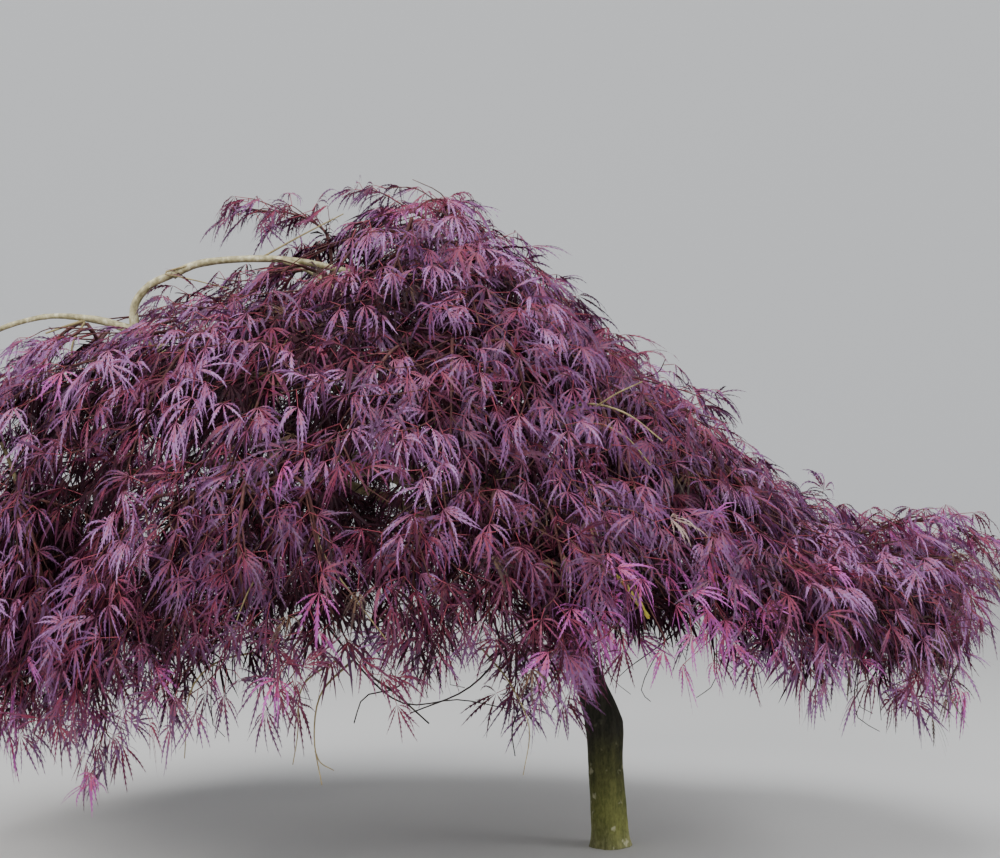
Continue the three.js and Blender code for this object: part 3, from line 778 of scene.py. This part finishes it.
def aim_leaves(rng, leaves):
    """Each leaf's hub, the way its middle lobe points, and the way its face looks"""
    count = len(leaves["root"])
    slope, normal, down, depth = surface_at(leaves["root"])
    depth = np.where(slope > HEM_SLOPE, np.minimum(depth, OUTER_DEPTH - 1), depth)
    along = leaves["heading"]
    side = unit(np.cross(normal, along)) * leaves["hand"]
    level = unit(normal * [1, 1, 0.001])

    def shake(by):
        return rng.normal(0, by, (count, 3))

    outward = normal * rng.uniform(0.15, 0.95, (count, 1))
    stalk = unit(along * 0.5 + side * 0.85 + outward + shake(0.22))
    reach = LEAF_STALK * leaves["size"] * rng.uniform(0.65, 1.25, (count, 1))
    hub = leaves["root"] + stalk * reach - UP * 0.18 * reach
    aim = unit(down * 0.26 + along * 0.22 + side * 0.6 - UP * 0.3 + level * 0.3 + shake(0.36))
    face = normal * 0.85 + UP * 0.45 + shake(0.42)
    face = unit(face - dot(face, aim) * aim)
    leaves.update(slope=slope, depth=depth, hub=hub, aim=aim, face=face)


def tier(hub):
    """Below 0 on the tiers of sprays, and above 1 in the dark gaps between them"""
    x, y, z = np.moveaxis(hub, -1, 0)
    wave = np.sin(x / 27 + 1.6 * np.sin(z / 43) + 0.7) + np.sin(y / 25 + 1.4 * np.sin(z / 37 + 2))
    return wave + 1.3 * np.sin(z / 13 + 1.7 * np.sin(x / 55 + 1) + 1.7 * np.sin(y / 51))


def near(hub, points, reach):
    return np.min(((hub[:, None] - points) ** 2).sum(-1), axis=1) < reach**2


def in_the_way(leaves):
    """Leaves that stand too far out, fill the gaps between tiers, or hide the pale limbs or the stub"""
    hub = leaves["hub"]
    loose = (leaves["depth"] < OUTER_DEPTH) & (tier(hub) > TIER_GAP)
    loose = (loose | (leaves["depth"] < -PROUD)) & ~leaves["stray"]
    limbs = np.concatenate([boughs[name]["line"] for name in boughs if name.startswith("bough_left")])
    limbs = limbs[limbs[:, 2] > CLEAR_ABOVE]
    return loose | bare_place(hub) | near(hub, STUB, STUB_CLEAR) | near(hub, limbs, LIMB_CLEAR)


def thin_out(leaves):
    """Drop each leaf that is in the way, or whose hub is too near to one before it"""
    hub, outer = leaves["hub"], leaves["depth"] < OUTER_DEPTH
    apart = np.where(outer, OUTER_APART, INNER_APART)
    hides = in_the_way(leaves)
    kept = []
    cells = {}
    steps = [(a, b, c) for a in (-1, 0, 1) for b in (-1, 0, 1) for c in (-1, 0, 1)]
    for i in np.argsort(-outer.astype(int), kind="stable"):
        if hides[i]:
            continue
        x, y, z = (hub[i] // max(OUTER_APART, INNER_APART)).astype(int)
        close = [k for a, b, c in steps for k in cells.get((x + a, y + b, z + c), [])]
        if close and np.min(((hub[close] - hub[i]) ** 2).sum(1)) < apart[i] ** 2:
            continue
        cells.setdefault((x, y, z), []).append(i)
        kept.append(i)
    return pick(leaves, np.sort(kept))


def lobe_shapes(rng, leaves, steps):
    """Every lobe's midrib, the ways up and sideways along it, and its width"""
    count, lobes = len(leaves["hub"]), len(LOBE_TURNS)
    turn = (LOBE_TURNS + rng.normal(0, 0.12, (count, lobes))) * rng.uniform(0.72, 1.2, (count, 1))
    aim, face = leaves["aim"][:, None], leaves["face"][:, None]
    across = np.cross(face, aim)
    heading = aim * np.cos(turn)[..., None] + across * np.sin(turn)[..., None]
    length = LEAF_LENGTH * leaves["size"] * LOBE_SHARES * rng.uniform(0.82, 1.12, (count, lobes))
    droop = LOBE_DROOP + TURNED_DROOP * np.abs(turn) + rng.uniform(-0.2, 0.3, (count, 1))
    droop = droop * np.where(leaves["slope"] > OPEN_SLOPE, OPEN_DROOP, 1)[:, None]
    curl = rng.normal(0, 0.3, (count, lobes, 1))
    ribs = np.empty((count, lobes, steps + 1, 3))
    ways = np.empty_like(ribs)
    ribs[:, :, 0] = leaves["hub"][:, None]
    for k in range(steps + 1):
        t = k / steps
        bend = np.minimum(1, droop * t**1.3)[..., None]
        ways[:, :, k] = unit(heading * (1 - bend) - UP * bend + across * curl * t)
        if k:
            step = (ways[:, :, k] + ways[:, :, k - 1]) / 2 * (length / steps)[..., None]
            ribs[:, :, k] = ribs[:, :, k - 1] + step
    upward = unit(face[:, :, None] - dot(face[:, :, None], ways) * ways)
    return ribs, upward, np.cross(upward, ways), (length / LEAF_LENGTH) ** 0.6


def lobe_profile(t):
    """Half width of a lobe over its teeth: narrow at its root and drawn out to a point"""
    return np.minimum(1, 0.3 + 2.2 * t) * np.minimum(1, 1.8 * (1 - t) + 0.08)


def between(points, places):
    """Points on lines, at places counted in their steps"""
    low = np.minimum(places.astype(int), points.shape[2] - 2)
    share = (places - low)[:, None]
    return points[:, :, low] * (1 - share) + points[:, :, low + 1] * share


def tooth_points(rng, ribs, full, core, hand):
    """Along one side of each lobe, the two points of each tooth's base, and its tip"""
    places = np.linspace(1.15, ribs.shape[2] - 1.35, TEETH)
    ragged = rng.uniform(0.7, 1.3, (*ribs.shape[:2], TEETH, 1))
    middle = between(ribs, places)
    past = between(ribs, places + TOOTH_LEAN - TOOTH_SHIFT * (hand > 0)) - middle
    base = ribs + core * hand
    tips = middle + between(full, places) * ragged * hand + past
    return [between(base, places - TOOTH_BASE), between(base, places), tips]


def lobe_meshes(rng, leaves, steps, toothed):
    """Points (leaf, lobe, point) and one lobe's triangles, with those of its red root marked"""
    ribs, upward, sideways, width = lobe_shapes(rng, leaves, steps)
    roll = rng.normal(0, LOBE_ROLL, (*width.shape, 1, 1))
    out = sideways * np.cos(roll) + upward * np.sin(roll)
    width = width * (LOBE_HALF_WIDTH if toothed else PLAIN_HALF_WIDTH)
    full = out * (width[..., None] * lobe_profile(np.arange(steps + 1) / steps))[..., None]
    core = full * (CORE if toothed else 1)
    groups = [ribs[:, :, :1], ribs[:, :, -1:]]
    groups += [(ribs + core * hand)[:, :, 1:-1] for hand in (-1, 1)]
    left, right = 2, 1 + steps
    faces = [(0, left, right), (left + steps - 2, 1, right + steps - 2)]
    inner = [1, 0]
    for k in range(steps - 2):
        faces += [(left + k, left + k + 1, right + k), (right + k, left + k + 1, right + k + 1)]
        inner += [1, 1] if toothed and k < 1 else [0, 0]
    for hand in (-1, 1) if toothed else ():
        groups += tooth_points(rng, ribs, full, core, hand)
        first = 2 * steps + (hand > 0) * 3 * TEETH
        side = [(first + k, first + 2 * TEETH + k, first + TEETH + k) for k in range(TEETH)]
        faces += side if hand < 0 else [(a, c, b) for a, b, c in side]
        inner += [0] * TEETH
    return np.concatenate(groups, axis=2), np.array(faces), np.array(inner)


def add_leaves(parts, shapes, chosen):
    points, faces, inner = shapes
    picked = points[chosen].reshape(-1, points.shape[2], 3)
    each = faces[None] + (np.arange(len(picked)) * points.shape[2])[:, None, None]
    parts.add(picked, each, np.tile(inner, len(picked)))


# Materials


def linear(code):
    """A colour for the shader from its screen value"""
    values = [int(code[i : i + 2], 16) / 255 for i in (0, 2, 4)]
    return [v / 12.92 if v <= 0.04045 else ((v + 0.055) / 1.055) ** 2.4 for v in values] + [1]


def connect(material, made, inputs):
    """Give a node its inputs, which are plain values or come from other nodes"""
    for name, value in inputs.items():
        if isinstance(value, bpy.types.NodeSocket):
            material.node_tree.links.new(value, made.inputs[name])
        else:
            made.inputs[name].default_value = value


def node(material, kind, inputs, output=0, **settings):
    """One result of a new node"""
    made = material.node_tree.nodes.new(f"ShaderNode{kind}")
    for name, value in settings.items():
        setattr(made, name, value)
    connect(material, made, inputs)
    return made.outputs[output]


def new_material(name, colour, roughness, specular=0.4):
    material = bpy.data.materials.new(name)
    material.use_nodes = True
    shader = material.node_tree.nodes["Principled BSDF"]
    looks = {"Base Color": linear(colour), "Roughness": roughness, "Specular IOR Level": specular}
    connect(material, shader, looks)
    return material, shader


def calculate(material, operation, *values):
    return node(material, "Math", dict(enumerate(values)), operation=operation)


def object_coords(material):
    return node(material, "TexCoord", {}, "Object")


def stretched_noise(material, scale, stretch, detail=6.0):
    """Noise in the piece's own space, drawn out along its height"""
    place = {"Vector": object_coords(material), "Scale": (1, 1, stretch)}
    vector = node(material, "Mapping", place)
    inputs = {"Vector": vector, "Scale": scale, "Detail": detail, "Roughness": 0.6}
    return node(material, "TexNoise", inputs, "Fac")


def ramp(material, value, stops):
    made = node(material, "ValToRGB", {"Fac": value}, "Color")
    elements = made.node.color_ramp.elements
    for i, (at, colour) in enumerate(stops):
        element = elements[i] if i < 2 else elements.new(at)
        element.position = at
        element.color = linear(colour)
    return made


def blend_colours(material, share, a, b):
    return node(material, "Mix", {"Factor": share, 6: a, 7: b}, 2, data_type="RGBA")


def threshold(material, value, low, high):
    return node(material, "MapRange", {"Value": value, "From Min": low, "From Max": high})


def add_bump(material, shader, noise, strength, distance):
    inputs = {"Height": stretched_noise(material, *noise), "Strength": strength, "Distance": distance}
    connect(material, shader, {"Normal": node(material, "Bump", inputs)})


def trunk_bark():
    """Near black above as painted shade under the crown, olive with algae below, and yellowish green with
    pale spots at the foot
    """
    material, shader = new_material("bark", "4a4636", 0.82, 0.25)
    height = node(material, "SeparateXYZ", {"Vector": object_coords(material)}, "Z")
    blotches = stretched_noise(material, 16, 0.6, 3.0)
    wander = calculate(material, "MULTIPLY_ADD", blotches, 0.11, height)
    # painted shade: the bark darkens from its olive foot up to near black under the crown
    share = threshold(material, wander, 0.03, 0.36)
    streaks = stretched_noise(material, 95, 0.12)
    mottle = stretched_noise(material, 260, 0.5, 5.0)
    both = calculate(material, "MULTIPLY_ADD", mottle, 0.8, streaks)
    dark, light = ramp(material, share, TRUNK_DARK), ramp(material, share, TRUNK_LIGHT)
    colour = blend_colours(material, threshold(material, both, 0.7, 1.12), dark, light)
    spots = stretched_noise(material, 60, 0.8, 2.0)
    low = threshold(material, height, 0.2, 0.0)
    spotted = calculate(material, "MULTIPLY", threshold(material, spots, 0.63, 0.7), low)
    colour = blend_colours(material, spotted, colour, ramp(material, spots, TRUNK_SPOTS))
    connect(material, shader, {"Base Color": colour})
    add_bump(material, shader, (320, 0.25, 4.0), 0.5, 0.0012)
    return material


def limb_bark(name):
    """Smooth bark with streaks and pale flecks"""
    low, high, fleck, roughness = BARKS[name]
    material, shader = new_material(name, low, roughness, 0.35)
    streaks = stretched_noise(material, 130, 0.7, 5.0)
    colour = ramp(material, streaks, [(0.3, low), (0.55, high), (0.72, fleck)])
    connect(material, shader, {"Base Color": colour})
    add_bump(material, shader, (700, 0.6, 3.0), 0.35, 0.0006)
    return material


def leaf_materials(tone):
    """Materials for the blade and for the red root of each lobe"""
    blade, rib, shine = LEAF_TONES[tone]
    leaf, shader = new_material(f"leaf_{tone}", blade, 0.48, shine)
    add_bump(leaf, shader, (900, 0.5, 2.0), 0.3, 0.0005)
    return [leaf, new_material(f"rib_{tone}", rib, 0.5, shine)[0]]


def tone_weights(x, y, z, depth, slope):
    """How likely each tone is, with light and shade painted in: lighter outside and on each tier, darker
    inside and low in front, and pink low in front where leaves glow with painted light
    """
    weights = dict(USUAL_TONES)
    # painted light: more of the light mauve tone at both sides of the crown
    weights["mauve"] += 3 * ((x < -600) | (x > 250))
    if slope > 0.72:
        weights.update(magenta=0.4, garnet=2.4, bronze=0.5)
    # painted shade under the overhanging crown, low in front
    if z < 500 and -650 < x < -60:
        weights.update(purple=1.8, mauve=0.4, burgundy=5, shade=3.5, bronze=0.8)
    if slope > HEM_SLOPE:
        weights.update(purple=3, mauve=1.5, garnet=4, burgundy=1, shade=0, magenta=1)
    if z < 340 and x < -440:
        weights.update(purple=2, mauve=1, garnet=4.5, magenta=1.6)
    # painted shade: darker tones inside the crown
    if depth > OUTER_DEPTH:
        weights.update(plum=2, purple=0.8, mauve=0.1, burgundy=4, shade=6, garnet=1, magenta=0)
        # less painted shade on the inner leaves at the right
        if x > 100:
            weights.update(plum=4, purple=2, shade=2)
    # deeper still, mostly the tone of painted shade
    if depth > 2 * OUTER_DEPTH:
        weights.update(purple=0, plum=0.3, garnet=0.2, burgundy=1.5, shade=12, bronze=0.3)
    # painted light and shade: lighter tones on the tops of the tiers, darker ones in the gaps
    lit = math.exp(-TIER_LIGHT * tier(np.array([x, y, z])))
    for tone in ("purple", "mauve"):
        weights[tone] *= lit
    for tone in ("burgundy", "shade"):
        weights[tone] /= lit
    # painted glow: bright pink bunches of leaves low in front that catch the light
    if depth < 2 * OUTER_DEPTH:
        for at_x, width, at_z, height, front, strength in PAINTED_GLOW_BUNCHES:
            weights["magenta"] += strength * bell(x, at_x, width) * bell(z, at_z, height) * (y < front)
    values = np.array([weights.get(tone, 0) for tone in LEAF_TONES])
    return values / values.sum()


def deal_tones(rng, leaves):
    """Each leaf's tone, mostly the same for a whole spray"""
    number = {tone: i for i, tone in enumerate(LEAF_TONES)}
    hub, depth, slope = leaves["hub"], leaves["depth"], leaves["slope"]
    chosen = np.zeros(len(hub), int)
    for spray in np.unique(leaves["spray"]):
        for outer in (True, False):
            mine = np.flatnonzero((leaves["spray"] == spray) & ((depth < OUTER_DEPTH) == outer))
            if not len(mine):
                continue
            weights = tone_weights(*hub[mine].mean(0), depth[mine].mean(), slope[mine].mean())
            chosen[mine] = rng.choice(len(number), p=weights)
            other = mine[rng.random(len(mine)) < STRAY_TONES]
            chosen[other] = rng.choice(len(number), len(other), p=weights)
    # a leaf that stands out keeps no tone of painted shade
    dark = np.isin(chosen, [number["shade"], number["burgundy"]])
    chosen[dark & (depth < LIT_DEPTH)] = number["plum"]
    dried = np.argmin(((hub - DRIED_LEAF) ** 2).sum(1) + 1e6 * (depth > LIT_DEPTH))
    chosen[dried] = number["dried"]
    return chosen


# The tree's pieces


def dress_limbs():
    trunk_mesh().piece("trunk_bark", "bark", [trunk_bark()], ["trunk"])
    young, inner = limb_bark("young_bark"), limb_bark("inner_bark")
    left = [name for name in boughs if name.startswith("bough_left")]
    others = [name for name in boughs if name not in left]
    for title, names, sides, seed, barks in (
        ("left_boughs_bark", left, 18, 100, [young, inner]),
        ("inner_boughs_bark", others, 9, 200, [inner, inner]),
    ):
        parts = Parts()
        for i, name in enumerate(names):
            add_bough_mesh(parts, name, sides, seed + i)
        parts.piece(title, "young_bark", barks, names)


def dress_twigs(twigs):
    bark = limb_bark("twig_bark")
    for ring in RINGS:
        parts = Parts()
        mine = [twig for twig in twigs if twig["mass"]["name"] == ring["name"]]
        for count in sorted({len(twig["line"]) for twig in mine}):
            group = [twig for twig in mine if len(twig["line"]) == count]
            radii = [np.linspace(*twig["radii"], count) for twig in group]
            add_tubes(parts, [twig["line"] for twig in group], radii, 5 if count > 12 else 3)
        nodes = [f"foliage_{mass['label']}" for mass in masses if mass["name"] == ring["name"]]
        parts.piece(f"twigs_{ring['name']}", "leaves", [bark], nodes)


def dress_bare_twigs(rng):
    parts = Parts()
    for twigs, steps, sides, bark in (
        (PALE_TWIGS, 18, 6, 0),
        (DARK_TWIGS, 18, 6, 1),
        (grow_hanging_twigs(rng), 12, 4, 1),
        (FRESH_TWIGS, 12, 8, 2),
    ):
        for points, root, tip in twigs:
            line = smooth_line(points, steps)
            add_tubes(parts, [line], np.linspace(root, tip, steps + 1), sides, bark)
    barks = [limb_bark(f"{kind}_twig_bark") for kind in ("pale", "dead", "fresh")]
    parts.piece("bare_twigs", "young_bark", barks)


def dress_leaves(rng, twigs):
    leaves = leaf_places(rng, twigs)
    aim_leaves(rng, leaves)
    leaves = thin_out(leaves)
    chosen = deal_tones(rng, leaves)
    outer = leaves["depth"] < OUTER_DEPTH
    fine = lobe_meshes(rng, pick(leaves, outer), FINE_STEPS, True)
    plain = lobe_meshes(rng, pick(leaves, ~outer), PLAIN_STEPS, False)
    print(f"leaves: {len(outer)}, {outer.sum()} outer")
    for number, tone in enumerate(LEAF_TONES):
        parts = Parts()
        add_leaves(parts, fine, chosen[outer] == number)
        add_leaves(parts, plain, chosen[~outer] == number)
        parts.piece(f"leaves_{tone}", "leaves", leaf_materials(tone), rounded=False)
    stalks = Parts()
    lines = np.stack([leaves["root"], leaves["hub"] - leaves["face"] * 0.3], 1)
    add_tubes(stalks, lines[leaves["depth"] < STALK_DEPTH], STALK_RADII, 3)
    skin, _ = new_material("leaf_stalk", STALK_COLOUR, 0.5)
    stalks.piece("leaf_stalks", "leaves", [skin])


# Floor, backdrop, light and camera


def make_stage():
    """A pale round floor that bends up into a wall and glows faintly out there"""
    reach, bend, top, sides = FLOOR
    profile = [(reach * i / 3, 0.0) for i in range(4)]
    for i in range(1, 15):
        a = math.pi / 2 * i / 14
        profile.append((reach + bend * math.sin(a), bend * (1 - math.cos(a))))
    profile.append((reach + bend, top))
    angles = [TAU * k / sides for k in range(sides)]
    points = [(r * math.cos(a), r * math.sin(a), z) for r, z in profile for a in angles]
    faces = []
    for row in range(0, len(points) - sides, sides):
        for a, b in [(row + k, row + (k + 1) % sides) for k in range(sides)]:
            faces.append((a, b, b + sides, a + sides))
    mesh = bpy.data.meshes.new("floor")
    mesh.from_pydata(points, [], faces)
    mesh.shade_smooth()
    material, shader = new_material("floor", "d3d2cf", 0.9, 0.2)
    distance = node(material, "VectorMath", {0: object_coords(material)}, "Value", operation="LENGTH")
    inputs = {"Value": distance, "From Min": GLOW["from"], "From Max": reach, "To Max": GLOW["strength"]}
    glow = node(material, "MapRange", inputs, interpolation_type="SMOOTHSTEP")
    connect(material, shader, {"Emission Color": GLOW["colour"], "Emission Strength": glow})
    mesh.materials.append(material)
    put_in_scene("floor", mesh)


def make_lights():
    for name, place, size, power, colour in LIGHTS:
        data = bpy.data.lights.new(name, "AREA")
        data.shape = "DISK"
        data.size, data.energy, data.color = size, power, colour
        put_in_scene(name, data, place, LIT_POINT)
    world = bpy.data.worlds.new("world")
    world.use_nodes = True
    sky = {"Color": SKY["colour"], "Strength": SKY["strength"]}
    connect(world, world.node_tree.nodes["Background"], sky)
    bpy.context.scene.world = world


def make_camera():
    data = bpy.data.cameras.new("camera")
    data.lens = LENS
    data.sensor_width = SENSOR
    bpy.context.scene.camera = put_in_scene("camera", data, *CAMERA)


rng = np.random.default_rng(SEED)
grow_boughs()
dress_limbs()
twigs = grow_twigs(rng)
dress_twigs(twigs)
dress_bare_twigs(rng)
dress_leaves(rng, twigs)
make_stage()
make_lights()
make_camera()
